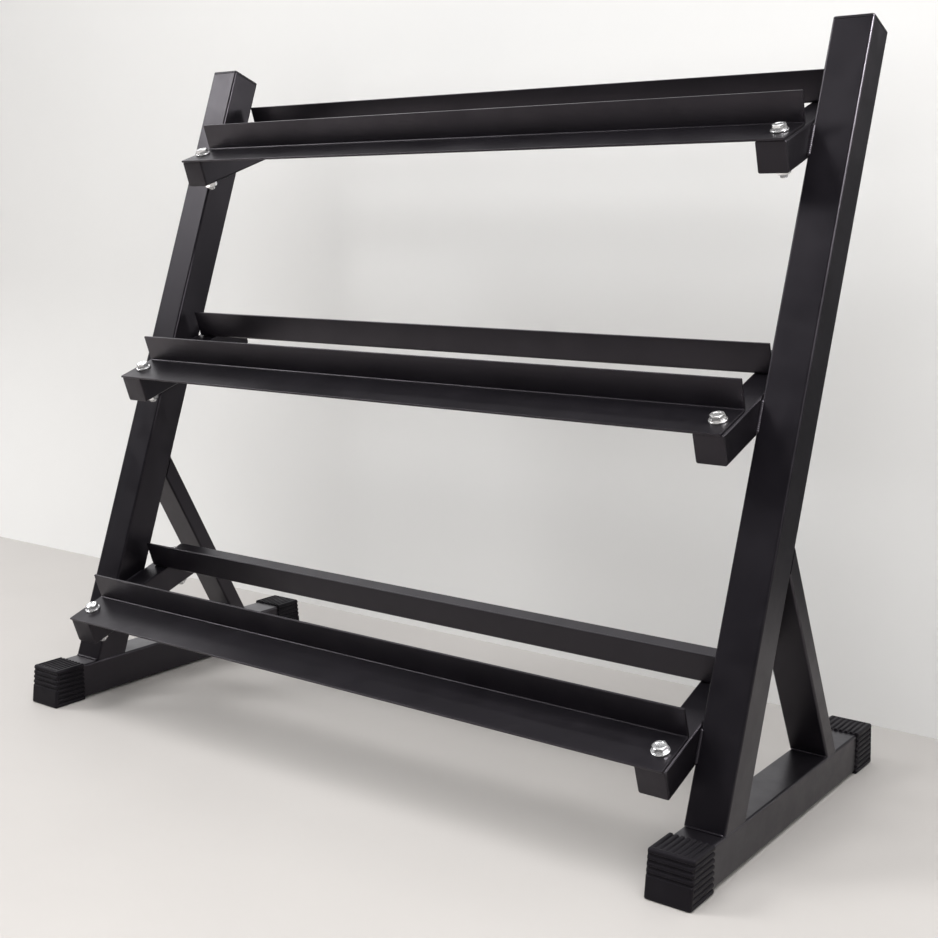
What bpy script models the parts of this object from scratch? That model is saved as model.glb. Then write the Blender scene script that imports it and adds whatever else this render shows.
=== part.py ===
"""Three-tier dumbbell rack: two welded square-tube side frames joined by six bolted angle rails.

Metres, +Z up, +X along the shelves, front towards -Y. The origin is on the floor, midway
between the side frames and midway between the front and rear foot caps.
"""
import math

import bmesh
import bpy

# ---------------------------------------------------------------- driving dimensions, metres
FIT_GAP = 0.0003            # clearance between pieces that touch
FRAME_WIDTH = 1.080         # over the outer faces of the two side frames

TUBE = 0.050                # square tube of the bases and uprights
TUBE_WALL = 0.002
TUBE_CORNER = 0.003         # outer corner radius of the frame tubes
CORNER_STEPS = 3            # straight pieces in a rounded corner

BASE_LENGTH = 0.504         # base tubes, centred on the origin
BASE_LIFT = 0.003           # the caps' floor under the base tubes
BASE_TOP = BASE_LIFT + TUBE + FIT_GAP

UPRIGHT_FRONT = -0.179      # front face of the uprights, where they stand on the base tubes
LEAN = math.radians(19.4)   # the uprights lean back from the vertical
UPRIGHT_LENGTH = 0.930      # along the centre line
PLUG_HEAD = 0.004           # closing plate of an upright's plug
PLUG_SPIGOT = 0.018         # the part of a plug inside its tube

BRACE_LEAN = math.radians(28.9)
BRACE_FOOT = 0.1234         # where a brace's centre line meets its base tube
BRACE_DEPTH = 0.025

ARM = 0.038                 # square tube of the shelf arms
ARM_WALL = 0.002
ARM_CORNER = 0.0026
ARM_FRONT = -0.0600         # ends of an arm with its plugs, from the front rail's upstand
ARM_REAR = 0.1680
ARM_PLUG_HEAD = 0.0025
ARM_PLUG_SPIGOT = 0.0075
ARM_CENTRE = (FRAME_WIDTH - ARM) / 2 - TUBE - FIT_GAP     # from the rack's middle

SHELF_TILT = math.radians(19.4)     # each shelf rises towards the back
SHELVES = (                 # name, height of the front rail's heel, its lead on the upright
    ("bottom", 0.1515, 0.0256),
    ("middle", 0.4990, 0.0377),
    ("top", 0.8175, 0.0190),
)

FRONT_RAIL_LENGTH = 0.9760
REAR_RAIL_LENGTH = 0.9560
RAIL_THICKNESS = 0.003
RAIL_FLANGE = 0.0655        # angle section, over its outer faces
RAIL_UPSTAND = 0.0400
RAIL_BEND = 0.0045          # outer radius of the bend
RAIL_SPACING = 0.0990       # between the front faces of the two upstands
BOLT_SETBACK = 0.0318       # bolt line, from the flange side of its rail's upstand

BOLT_RADIUS = 0.005         # M10 hexagon bolt and nut
BOLT_HOLE_RADIUS = 0.0056
HEX_ACROSS_FLATS = 0.016
HEAD_HEIGHT = 0.0064
HEAD_CROWN_RADIUS = 0.0073  # flat circle on top of the head
HEAD_CHAMFER = 0.0012
WASHER_RADIUS = 0.011
WASHER_THICKNESS = 0.002
NUT_HEIGHT = 0.008
THREAD_END = 0.0045         # thread that stands out under the nut
FASTENER_SIDES = 18         # a multiple of six, so that the hexagon keeps its corners

CAP = 0.056                 # foot cap, over its outer faces
CAP_MOUTH = 0.045           # how far it reaches over the end of its tube
CAP_END = 0.003             # its end wall at the top
CAP_FLARE = 0.006           # the end wall leans out towards the floor
CAP_CORNER = 0.003
CAP_GROOVE_WIDTH = 0.0030
CAP_GROOVE_DEPTH = 0.0014
CAP_GROOVE_PITCH = 0.0070
CAP_GROOVES = 7             # along each side and along the top
CAP_FACE_GROOVES = 4        # in the upper half of the end wall

SIDES = (("left", -1), ("right", 1))
CUT_CLEARANCE = 0.005       # how far a cutting solid stands out of the surface it cuts
HOLE_REACH = 0.080          # half length of the solids that cut the bolt holes
EMPTY_SIZE = 0.05

POWDER_COAT = ("black_powder_coat", (0.016, 0.016, 0.018), 0.42, 0.0)
PLASTIC = ("black_plastic", (0.012, 0.012, 0.013), 0.6, 0.0)
ZINC = ("zinc_plate", (0.62, 0.63, 0.65), 0.28, 1.0)


# ---------------------------------------------------------------- scene and object helpers
def clear_scene():
    for old in list(bpy.data.objects):
        bpy.data.objects.remove(old, do_unlink=True)


def finish_material(name, finish):
    label, colour, roughness, metallic = finish
    material = bpy.data.materials.new(name + "_" + label)
    material.use_nodes = True
    shader = material.node_tree.nodes["Principled BSDF"]
    shader.inputs["Base Color"].default_value = (*colour, 1.0)
    shader.inputs["Roughness"].default_value = roughness
    shader.inputs["Metallic"].default_value = metallic
    material.diffuse_color = (*colour, 1.0)
    return material


def new_object(name, mesh, finish, parent=None):
    obj = bpy.data.objects.new(name, mesh)
    bpy.context.scene.collection.objects.link(obj)
    obj.data.materials.clear()
    obj.data.materials.append(finish_material(name, finish))
    obj.parent = parent
    return obj


def new_empty(name, location, tilt=0.0, parent=None):
    empty = bpy.data.objects.new(name, None)
    bpy.context.scene.collection.objects.link(empty)
    empty.empty_display_size = EMPTY_SIZE
    empty.location = location
    empty.rotation_euler = (tilt, 0.0, 0.0)
    empty.parent = parent
    return empty


def smooth_mesh(mesh, sharp_degrees=35.0):
    mesh.shade_smooth()
    mesh.set_sharp_from_angle(angle=math.radians(sharp_degrees))


def loft_mesh(name, rings, ring_loop=False):
    """Closed mesh through rings of equal length: a loop of rings, or a stack with two end faces."""
    shape = bmesh.new()
    ring_verts = [[shape.verts.new(point) for point in ring] for ring in rings]
    pairs = list(zip(ring_verts, ring_verts[1:]))
    if ring_loop:
        pairs.append((ring_verts[-1], ring_verts[0]))
    else:
        shape.faces.new(ring_verts[0])
        shape.faces.new(ring_verts[-1])
    for lower, upper in pairs:
        for index in range(len(lower)):
            following = (index + 1) % len(lower)
            shape.faces.new((lower[index], lower[following], upper[following], upper[index]))
    bmesh.ops.recalc_face_normals(shape, faces=shape.faces)
    mesh = bpy.data.meshes.new(name)
    shape.to_mesh(mesh)
    shape.free()
    smooth_mesh(mesh)
    return mesh


def subtract(obj, cutter):
    cutter.hide_render = True
    cutter.display_type = "WIRE"
    cut = obj.modifiers.new("cut_" + cutter.name, "BOOLEAN")
    cut.operation = "DIFFERENCE"
    cut.solver = "EXACT"
    cut.object = cutter


# ---------------------------------------------------------------- outlines
def arc(centre, radius, start_degrees, end_degrees, steps):
    points = []
    for step in range(steps + 1):
        angle = math.radians(start_degrees + (end_degrees - start_degrees) * step / steps)
        points.append((centre[0] + radius * math.cos(angle), centre[1] + radius * math.sin(angle)))
    return points


def rounded_rectangle(width, height, radius, steps=CORNER_STEPS):
    across, up = width / 2 - radius, height / 2 - radius
    corners = ((across, up, 0), (-across, up, 90), (-across, -up, 180), (across, -up, 270))
    outline = []
    for centre_x, centre_z, start in corners:
        outline += arc((centre_x, centre_z), radius, start, start + 90, steps)
    return outline


def regular_outline(radius, sides=FASTENER_SIDES):
    return [(radius * math.cos(math.tau * i / sides), radius * math.sin(math.tau * i / sides))
            for i in range(sides)]


def hexagon_outline(across_flats, sides=FASTENER_SIDES):
    """A hexagon drawn with the same number of points as the round outlines it is lofted to."""
    outline = []
    for index in range(sides):
        angle = math.tau * index / sides
        from_flat = (angle % (math.pi / 3)) - math.pi / 6
        radius = across_flats / 2 / math.cos(from_flat)
        outline.append((radius * math.cos(angle), radius * math.sin(angle)))
    return outline


# ---------------------------------------------------------------- tubes and plugs
def tube(name, width, height, wall, corner, length, start_cut=0.0, end_cut=0.0, parent=None):
    """Open hollow tube along local +Y. A cut is how far its end runs on per metre of height."""
    outer = rounded_rectangle(width, height, corner)
    inner = rounded_rectangle(width - 2 * wall, height - 2 * wall, corner - wall)

    def ring(outline, distance, cut):
        return [(x, distance + cut * z, z) for x, z in outline]

    rings = (ring(outer, 0.0, start_cut), ring(outer, length, end_cut),
             ring(inner, length, end_cut), ring(inner, 0.0, start_cut))
    return new_object(name, loft_mesh(name, rings, ring_loop=True), POWDER_COAT, parent)


def tube_plug(name, size, wall, corner, head, spigot, parent=None):
    """Square plug along local +Y: a plate as large as the tube, and a spigot behind it (-Y)."""
    plate = rounded_rectangle(size, size, corner)
    core = rounded_rectangle(size - 2 * wall - 2 * FIT_GAP, size - 2 * wall - 2 * FIT_GAP,
                             corner - wall)
    stack = ((plate, head), (plate, 0.0), (core, 0.0), (core, -spigot))
    rings = [[(x, y, z) for x, z in outline] for outline, y in stack]
    return new_object(name, loft_mesh(name, rings), PLASTIC, parent)


# ---------------------------------------------------------------- foot caps
def grooved_edge(start, end, inward, count):
    """Points from start towards end, with count square grooves centred along the edge."""
    length = math.dist(start, end)
    along = ((end[0] - start[0]) / length, (end[1] - start[1]) / length)

    def place(distance, depth):
        return (start[0] + along[0] * distance + inward[0] * depth,
                start[1] + along[1] * distance + inward[1] * depth)

    points = [start]
    for index in range(count):
        middle = length / 2 + (index - (count - 1) / 2) * CAP_GROOVE_PITCH
        near, far = middle - CAP_GROOVE_WIDTH / 2, middle + CAP_GROOVE_WIDTH / 2
        points += [place(near, 0.0), place(near, CAP_GROOVE_DEPTH),
                   place(far, CAP_GROOVE_DEPTH), place(far, 0.0)]
    return points


def cap_outline():
    """Cross-section of a foot cap: grooved sides and top, plain rounded foot."""
    half, inset = CAP / 2, CAP_CORNER
    outline = arc((half - inset, inset), inset, 270, 360, CORNER_STEPS)[:-1]
    outline += grooved_edge((half, inset), (half, CAP - inset), (-1, 0), CAP_GROOVES)
    outline += arc((half - inset, CAP - inset), inset, 0, 90, CORNER_STEPS)[:-1]
    outline += grooved_edge((half - inset, CAP), (-half + inset, CAP), (0, -1), CAP_GROOVES)
    outline += arc((-half + inset, CAP - inset), inset, 90, 180, CORNER_STEPS)[:-1]
    outline += grooved_edge((-half, CAP - inset), (-half, inset), (1, 0), CAP_GROOVES)
    outline += arc((-half + inset, inset), inset, 180, 270, CORNER_STEPS)
    return outline


def box_rings(width, low, high, near, far):
    corners = ((-width / 2, low), (width / 2, low), (width / 2, high), (-width / 2, high))
    return [[(x, y, z) for x, z in corners] for y in (near, far)]


def foot_cap(name, mouth, turn, frame):
    """Cap that slides over a base tube. Its mouth faces local -Y and its end wall local +Y."""
    outline = cap_outline()
    reach = CAP_MOUTH + CAP_END

    def end_wall(z):
        return reach + CAP_FLARE * (1 - z / CAP)

    rings = ([(x, 0.0, z) for x, z in outline], [(x, end_wall(z), z) for x, z in outline])
    cap = new_object(name, loft_mesh(name, rings), PLASTIC, frame)
    cap.location = (0.0, mouth, 0.0)
    cap.rotation_euler = (0.0, 0.0, turn)

    socket_low = BASE_LIFT - FIT_GAP
    socket_high = BASE_LIFT + TUBE + FIT_GAP
    socket = box_rings(TUBE + 2 * FIT_GAP, socket_low, socket_high, -CUT_CLEARANCE,
                       CAP_MOUTH + FIT_GAP)
    socket_mesh = loft_mesh(name + "_socket", socket)
    subtract(cap, new_object(name + "_socket", socket_mesh, PLASTIC, cap))

    for index in range(CAP_FACE_GROOVES):
        height = CAP - CAP_CORNER - (index + 0.5) * CAP_GROOVE_PITCH
        face = end_wall(height)
        groove = box_rings(CAP + 2 * CUT_CLEARANCE, height - CAP_GROOVE_WIDTH / 2,
                           height + CAP_GROOVE_WIDTH / 2, face - CAP_GROOVE_DEPTH,
                           face + CUT_CLEARANCE)
        label = "%s_groove_%d" % (name, index + 1)
        subtract(cap, new_object(label, loft_mesh(label, groove), PLASTIC, cap))


# ---------------------------------------------------------------- side frames
def side_frame(side, sign):
    """Base tube, upright, brace, two foot caps and the upright's plug on one side."""
    centre_x = sign * (FRAME_WIDTH - TUBE) / 2
    frame = new_empty("side_frame_" + side, (centre_x, 0.0, 0.0))

    base = tube("base_tube_" + side, TUBE, TUBE, TUBE_WALL, TUBE_CORNER, BASE_LENGTH, parent=frame)
    base.location = (0.0, -BASE_LENGTH / 2, BASE_LIFT + TUBE / 2)

    upright_angle = math.pi / 2 - LEAN
    foot_y = UPRIGHT_FRONT + TUBE / 2 / math.cos(LEAN)
    upright = tube("upright_" + side, TUBE, TUBE, TUBE_WALL, TUBE_CORNER, UPRIGHT_LENGTH,
                   start_cut=-1 / math.tan(upright_angle), parent=frame)
    upright.location = (0.0, foot_y, BASE_TOP)
    upright.rotation_euler = (upright_angle, 0.0, 0.0)

    plug = tube_plug("upright_plug_" + side, TUBE, TUBE_WALL, TUBE_CORNER, PLUG_HEAD, PLUG_SPIGOT,
                     parent=frame)
    plug_distance = UPRIGHT_LENGTH + FIT_GAP
    plug.location = (0.0, foot_y + plug_distance * math.cos(upright_angle),
                     BASE_TOP + plug_distance * math.sin(upright_angle))
    plug.rotation_euler = (upright_angle, 0.0, 0.0)

    rear_brace(side, frame, foot_y)
    mouth = BASE_LENGTH / 2 - CAP_MOUTH
    foot_cap("foot_cap_front_" + side, -mouth, math.pi, frame)
    foot_cap("foot_cap_rear_" + side, mouth, 0.0, frame)


def rear_brace(side, frame, upright_foot_y):
    """Flat-sided tube from the back of the base up to the rear face of the upright."""
    brace_angle = math.pi / 2 + BRACE_LEAN
    along = (math.cos(brace_angle), math.sin(brace_angle))
    across = (-along[1], along[0])
    face_normal = (math.cos(LEAN), -math.sin(LEAN))

    def beyond_rear_face(direction):
        return direction[0] * face_normal[0] + direction[1] * face_normal[1]

    to_face = (BRACE_FOOT - upright_foot_y) * face_normal[0] - TUBE / 2 - FIT_GAP
    length = -to_face / beyond_rear_face(along)
    brace = tube("rear_brace_" + side, TUBE, BRACE_DEPTH, TUBE_WALL, TUBE_CORNER, length,
                 start_cut=-along[0] / along[1],
                 end_cut=-beyond_rear_face(across) / beyond_rear_face(along), parent=frame)
    brace.location = (0.0, BRACE_FOOT, BASE_TOP)
    brace.rotation_euler = (brace_angle, 0.0, 0.0)


# ---------------------------------------------------------------- shelves
def drill(obj, places):
    """Round holes along the object's local Z at each local (x, y) of places."""
    for number, (x, y) in enumerate(places, 1):
        label = "%s_hole_%d" % (obj.name, number)
        rings = [[(x + px, y + py, z) for px, py in regular_outline(BOLT_HOLE_RADIUS)]
                 for z in (-HOLE_REACH, HOLE_REACH)]
        subtract(obj, new_object(label, loft_mesh(label, rings), POWDER_COAT, obj))


def angle_section():
    """Rolled angle: its flange runs forward from the heel at (0, 0), its upstand rises behind."""
    bend = RAIL_BEND - RAIL_THICKNESS
    tip = RAIL_THICKNESS - RAIL_FLANGE
    top = RAIL_UPSTAND - RAIL_THICKNESS
    outline = [(tip, 0.0), (tip, -RAIL_THICKNESS)]
    outline += arc((-bend, bend), RAIL_BEND, 270, 360, CORNER_STEPS)
    outline += [(RAIL_THICKNESS, top), (0.0, top)]
    outline += arc((-bend, bend), bend, 360, 270, CORNER_STEPS)
    return outline


def angle_rail(name, section, length, bolt_line, shelf):
    rings = [[(x, y, z) for y, z in section] for x in (-length / 2, length / 2)]
    rail = new_object(name, loft_mesh(name, rings), POWDER_COAT, shelf)
    drill(rail, ((-ARM_CENTRE, bolt_line), (ARM_CENTRE, bolt_line)))


def hex_bolt(name, x, y, tip, shelf):
    """Hexagon bolt with its washer, head up, tip at local z = tip."""
    washer_top = FIT_GAP + WASHER_THICKNESS
    head_top = washer_top + HEAD_HEIGHT
    hexagon = hexagon_outline(HEX_ACROSS_FLATS)
    washer = regular_outline(WASHER_RADIUS)
    shank = regular_outline(BOLT_RADIUS)
    crown = regular_outline(HEAD_CROWN_RADIUS)
    stack = ((crown, head_top), (hexagon, head_top - HEAD_CHAMFER), (hexagon, washer_top),
             (washer, washer_top), (washer, FIT_GAP), (shank, FIT_GAP), (shank, tip))
    rings = [[(px, py, z) for px, py in outline] for outline, z in stack]
    bolt = new_object(name, loft_mesh(name, rings), ZINC, shelf)
    bolt.location = (x, y, 0.0)


def hex_nut(name, x, y, top, shelf):
    hexagon = hexagon_outline(HEX_ACROSS_FLATS)
    bore = regular_outline(BOLT_RADIUS + 2 * FIT_GAP)
    stack = ((hexagon, 0.0), (hexagon, -NUT_HEIGHT), (bore, -NUT_HEIGHT), (bore, 0.0))
    rings = [[(px, py, z) for px, py in outline] for outline, z in stack]
    nut = new_object(name, loft_mesh(name, rings, ring_loop=True), ZINC, shelf)
    nut.location = (x, y, top)


def shelf_arm(place, sign, bolt_lines, shelf):
    """Square tube beside the upright, drilled for both rails and plugged at both ends."""
    arm_x = sign * ARM_CENTRE
    arm_z = -RAIL_THICKNESS - FIT_GAP - ARM / 2
    start = ARM_FRONT + ARM_PLUG_HEAD + FIT_GAP
    end = ARM_REAR - ARM_PLUG_HEAD - FIT_GAP

    arm = tube("arm_" + place, ARM, ARM, ARM_WALL, ARM_CORNER, end - start, parent=shelf)
    arm.location = (arm_x, start, arm_z)
    drill(arm, [(0.0, line - start) for line in bolt_lines])

    front_plug = tube_plug("arm_plug_front_" + place, ARM, ARM_WALL, ARM_CORNER,
                           ARM_PLUG_HEAD, ARM_PLUG_SPIGOT, parent=shelf)
    front_plug.location = (arm_x, start - FIT_GAP, arm_z)
    front_plug.rotation_euler = (0.0, 0.0, math.pi)
    rear_plug = tube_plug("arm_plug_rear_" + place, ARM, ARM_WALL, ARM_CORNER,
                          ARM_PLUG_HEAD, ARM_PLUG_SPIGOT, parent=shelf)
    rear_plug.location = (arm_x, end + FIT_GAP, arm_z)

    nut_top = arm_z - ARM / 2 - FIT_GAP
    for row, line in zip(("front", "rear"), bolt_lines):
        hex_nut("nut_%s_%s" % (row, place), arm_x, line, nut_top, shelf)
        hex_bolt("bolt_%s_%s" % (row, place), arm_x, line, nut_top - NUT_HEIGHT - THREAD_END,
                 shelf)


def build_shelf(tier, height, lead):
    """One tier. Local axes: X along the rails, Y up the shelf's slope, Z square to it."""
    heel_y = UPRIGHT_FRONT + (height - BASE_TOP) * math.tan(LEAN) - lead
    shelf = new_empty("shelf_" + tier, (0.0, heel_y, height), tilt=SHELF_TILT)
    rear_heel = RAIL_SPACING + RAIL_THICKNESS
    bolt_lines = (-BOLT_SETBACK, rear_heel + BOLT_SETBACK)

    front_section = angle_section()
    rear_section = [(rear_heel - y, z) for y, z in front_section]
    angle_rail("front_rail_" + tier, front_section, FRONT_RAIL_LENGTH, bolt_lines[0], shelf)
    angle_rail("rear_rail_" + tier, rear_section, REAR_RAIL_LENGTH, bolt_lines[1], shelf)
    for side, sign in SIDES:
        shelf_arm("%s_%s" % (tier, side), sign, bolt_lines, shelf)


def build_rack():
    clear_scene()
    for side, sign in SIDES:
        side_frame(side, sign)
    for tier, height, lead in SHELVES:
        build_shelf(tier, height, lead)


build_rack()
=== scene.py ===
"""Dumbbell rack, visual model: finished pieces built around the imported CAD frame.

Metres, +Z up, +X along the shelves, front towards -Y, the same frame as the CAD.
"""
import math
import random

import bmesh
import bpy
from mathutils import Matrix, Vector


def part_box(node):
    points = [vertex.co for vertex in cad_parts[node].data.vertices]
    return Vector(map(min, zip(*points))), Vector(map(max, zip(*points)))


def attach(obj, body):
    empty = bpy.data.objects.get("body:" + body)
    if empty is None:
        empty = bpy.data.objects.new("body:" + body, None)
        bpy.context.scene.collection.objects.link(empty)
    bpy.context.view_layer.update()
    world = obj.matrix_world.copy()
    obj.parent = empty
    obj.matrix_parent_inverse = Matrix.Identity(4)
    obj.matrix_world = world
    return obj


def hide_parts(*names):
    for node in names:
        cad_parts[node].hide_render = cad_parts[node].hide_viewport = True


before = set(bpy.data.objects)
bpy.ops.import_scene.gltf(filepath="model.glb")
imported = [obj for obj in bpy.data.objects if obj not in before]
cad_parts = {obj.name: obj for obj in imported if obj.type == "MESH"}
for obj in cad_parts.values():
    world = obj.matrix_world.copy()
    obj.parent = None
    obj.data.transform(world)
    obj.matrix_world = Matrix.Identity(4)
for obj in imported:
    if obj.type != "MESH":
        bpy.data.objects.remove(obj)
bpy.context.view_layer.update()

random.seed(7)

# ---------------------------------------------------------------- dimensions shared with the CAD
FIT_GAP = 0.0003
TUBE, TUBE_WALL, TUBE_CORNER = 0.050, 0.002, 0.003
BRACE_DEPTH = 0.025
ARM, ARM_WALL, ARM_CORNER = 0.038, 0.002, 0.0026
UPRIGHT_LENGTH, PLUG_HEAD, PLUG_SPIGOT = 0.930, 0.004, 0.018
ARM_PLUG_HEAD, ARM_PLUG_SPIGOT = 0.0025, 0.0075
LEAN = math.radians(19.4)
BRACE_LEAN = math.radians(28.9)
BRACE_FOOT = 0.1234

RAIL_THICKNESS, RAIL_FLANGE, RAIL_UPSTAND, RAIL_BEND = 0.003, 0.0655, 0.040, 0.0045
RAIL_SPACING = 0.099
BOLT_SETBACK = 0.0318

BOLT_RADIUS, HEX_ACROSS_FLATS, HEAD_HEIGHT = 0.005, 0.016, 0.0064
WASHER_RADIUS, WASHER_THICKNESS, WASHER_HOLE = 0.011, 0.002, 0.0054
NUT_HEIGHT, THREAD_END, THREAD_PITCH, THREAD_DEPTH = 0.008, 0.0045, 0.0015, 0.0008

CAP, CAP_MOUTH, CAP_END, CAP_FLARE, CAP_CORNER = 0.056, 0.045, 0.003, 0.006, 0.003
CAP_GROOVE_PITCH, CAP_GROOVES, CAP_FACE_GROOVES = 0.0070, 7, 4

CORNER_STEPS = 8
TIERS = ("bottom", "middle", "top")
SIDES = (("left", -1), ("right", 1))


# ---------------------------------------------------------------- procedural materials
# sizes of the patterns, as noise scales per metre
MOTTLE_SCALE, GLOSS_SCALE, DUST_SCALE, RUB_SCALE = 11.0, 24.0, 60.0, 160.0
# noise values where each pattern starts and is full
MOTTLE_RANGE, GLOSS_RANGE, DUST_RANGE, RUB_RANGE = (0.35, 0.65), (0.3, 0.7), (0.35, 0.75), (0.42, 0.72)
DUST_LEAST, RUB_LEAST = 0.35, 0.15              # what is left of dust and rubbing between their patches
RUBBED_WIDTH = 0.0012       # reach of the rubbing from an edge
EDGE_BEND = (0.985, 0.80)   # cosines of how far the rounded normal leans where rubbing starts and is full
FACING_UP = (0.55, 0.98)    # upward shares of the normal where dust starts and is full
DUST_TONE = (0.42, 0.40, 0.38)
DUST_DULLNESS = 0.8         # roughness that full dust adds
BUMP_STRENGTH = 0.6


class Graph:
    """Short names for building a material's or the world's node tree."""

    def __init__(self, tree):
        self.tree = tree

    def add(self, kind, inputs=(), **properties):
        node = self.tree.nodes.new(kind)
        for key, value in properties.items():
            setattr(node, key, value)
        for socket, value in dict(inputs).items():
            if isinstance(value, bpy.types.NodeSocket):
                self.tree.links.new(value, node.inputs[socket])
            else:
                node.inputs[socket].default_value = value
        return node

    def noise(self, place, scale, detail=2.0, roughness=0.5):
        return self.add("ShaderNodeTexNoise", {"Vector": place, "Scale": scale, "Detail": detail,
                                               "Roughness": roughness}).outputs["Fac"]

    def span(self, value, low, high, to_low, to_high):
        node = self.add("ShaderNodeMapRange", {0: value, 1: low, 2: high, 3: to_low, 4: to_high},
                        interpolation_type="SMOOTHSTEP")
        return node.outputs[0]

    def math(self, operation, first, second):
        return self.add("ShaderNodeMath", {0: first, 1: second}, operation=operation).outputs[0]

    def dot(self, first, second):
        return self.add("ShaderNodeVectorMath", {0: first, 1: second},
                        operation="DOT_PRODUCT").outputs["Value"]

    def mix(self, factor, first, second):
        node = self.add("ShaderNodeMix", data_type="RGBA")
        for index, value in ((0, factor), (6, first), (7, second)):
            if isinstance(value, bpy.types.NodeSocket):
                self.tree.links.new(value, node.inputs[index])
            else:
                node.inputs[index].default_value = value
        return node.outputs[2]

    def bump(self, height, distance, strength, normal=None):
        inputs = {"Height": height, "Distance": distance, "Strength": strength}
        if normal is not None:
            inputs["Normal"] = normal
        return self.add("ShaderNodeBump", inputs).outputs["Normal"]


def tone(red, green, blue):
    return (red, green, blue, 1.0)


def finish(name, colour, shade, worn_and_highlight, dust, roughness, grain, metallic=0.0, wear_and_highlight=0.5, specular=0.5,
           tint=(1.0, 1.0, 1.0)):
    """Coated or moulded surface: mottled colour, uneven gloss, fine grain and rubbed edges.

    colour and shade are the two tones of the mottling, worn_and_highlight the rubbed edges' tone,
    which on the arm welds' coat is set light as a painted highlight, dust how much settles on faces
    that look up, roughness the glossiest and dullest, grain (size, height) pairs, and tint the hue of
    what the surface mirrors.
    """
    material = bpy.data.materials.new(name)
    material.use_nodes = True
    graph = Graph(material.node_tree)
    links = material.node_tree.links
    shader = material.node_tree.nodes["Principled BSDF"]
    place = graph.add("ShaderNodeTexCoord").outputs["Object"]
    surface = graph.add("ShaderNodeNewGeometry")

    mottle = graph.noise(place, MOTTLE_SCALE, detail=5.0, roughness=0.6)
    body = graph.mix(graph.span(mottle, *MOTTLE_RANGE, 0.0, 1.0), tone(*shade), tone(*colour))

    rounded = graph.add("ShaderNodeBevel", {"Radius": RUBBED_WIDTH}, samples=4).outputs["Normal"]
    edge = graph.span(graph.dot(rounded, surface.outputs["Normal"]), *EDGE_BEND, 0.0, 1.0)
    patches = graph.noise(place, RUB_SCALE, detail=4.0, roughness=0.7)
    rubbed = graph.math("MULTIPLY", edge, graph.span(patches, *RUB_RANGE, RUB_LEAST, 1.0))
    # tone of the rubbed edges: worn paint on most coats, and on the arm welds' coat a painted highlight
    # over the rubbing
    body = graph.mix(graph.math("MULTIPLY", rubbed, wear_and_highlight), body, tone(*worn_and_highlight))

    upward = graph.add("ShaderNodeSeparateXYZ", {0: surface.outputs["Normal"]}).outputs["Z"]
    flecks = graph.noise(place, DUST_SCALE, detail=6.0, roughness=0.75)
    settled = graph.math("MULTIPLY", graph.span(upward, *FACING_UP, 0.0, dust),
                         graph.span(flecks, *DUST_RANGE, DUST_LEAST, 1.0))
    body = graph.mix(settled, body, tone(*DUST_TONE))
    links.new(body, shader.inputs["Base Color"])

    uneven = graph.noise(place, GLOSS_SCALE, detail=6.0, roughness=0.65)
    gloss = graph.math("ADD", graph.span(uneven, *GLOSS_RANGE, *roughness),
                       graph.math("MULTIPLY", settled, DUST_DULLNESS))
    links.new(gloss, shader.inputs["Roughness"])

    normal = None
    for size, height in grain:
        pattern = graph.noise(place, 1.0 / size, roughness=0.55)
        normal = graph.bump(pattern, height, BUMP_STRENGTH, normal)
    links.new(normal, shader.inputs["Normal"])
    shader.inputs["Metallic"].default_value = metallic
    shader.inputs["Specular IOR Level"].default_value = specular
    shader.inputs["Specular Tint"].default_value = tone(*tint)
    return material


COOL_SHEEN = (0.97, 0.885, 1.0)
PLASTIC_TONES = {"colour": (0.0040, 0.0036, 0.0048), "shade": (0.0028, 0.0025, 0.0034),
                 "worn_and_highlight": (0.050, 0.048, 0.053)}
POWDER_COAT = finish(
    "powder_coat", colour=(0.0046, 0.0040, 0.0055), shade=(0.0030, 0.0026, 0.0037),
    worn_and_highlight=(0.045, 0.043, 0.047), dust=0.004, roughness=(0.32, 0.41),
    grain=((0.0016, 0.00006), (0.0005, 0.000016)), wear_and_highlight=0.35, tint=COOL_SHEEN)
# arm welds: colour lighter than the frame's and rubbed edges far lighter, a painted highlight for the
# light the beads catch, over real rubbing
WELD_COAT_PAINTED_HIGHLIGHT = finish(
    "weld_coat_painted_highlight", colour=(0.0100, 0.0090, 0.0115), shade=(0.0050, 0.0044, 0.0060),
    worn_and_highlight=(0.20, 0.19, 0.20), dust=0.004, roughness=(0.30, 0.46),
    grain=((0.0012, 0.00008), (0.0005, 0.00003)), wear_and_highlight=0.6, tint=COOL_SHEEN)
PLUG_PLASTIC = finish(
    "plug_plastic", **PLASTIC_TONES, dust=0.005, roughness=(0.40, 0.52),
    grain=((0.0007, 0.00004), (0.00025, 0.00002)), wear_and_highlight=0.4, specular=0.45, tint=COOL_SHEEN)
CAP_PLASTIC = finish(
    "cap_plastic", **PLASTIC_TONES, dust=0.005, roughness=(0.52, 0.66),
    grain=((0.0007, 0.00005), (0.00025, 0.00002)), wear_and_highlight=0.35, specular=0.22, tint=COOL_SHEEN)
ZINC = finish(
    "zinc_plate", colour=(0.93, 0.92, 0.91), shade=(0.80, 0.80, 0.81),
    worn_and_highlight=(0.92, 0.92, 0.92), dust=0.0, roughness=(0.10, 0.24),
    grain=((0.0009, 0.00003), (0.0002, 0.00001)), metallic=0.8, wear_and_highlight=0.4)


# ---------------------------------------------------------------- outlines and meshes
# degrees past which an edge is shaded sharp
SHARP, SHARP_HEX, SHARP_WASHER, SHARP_CAP, SHARP_BEAD = 40, 28, 50, 60, 75
EASE_STEP = 0.3             # place of the middle line of a small rounding, as a share of its size


def arc(centre, radius, start, end, steps=CORNER_STEPS):
    points = []
    for step in range(steps + 1):
        angle = math.radians(start + (end - start) * step / steps)
        points.append((centre[0] + radius * math.cos(angle), centre[1] + radius * math.sin(angle)))
    return points


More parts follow.
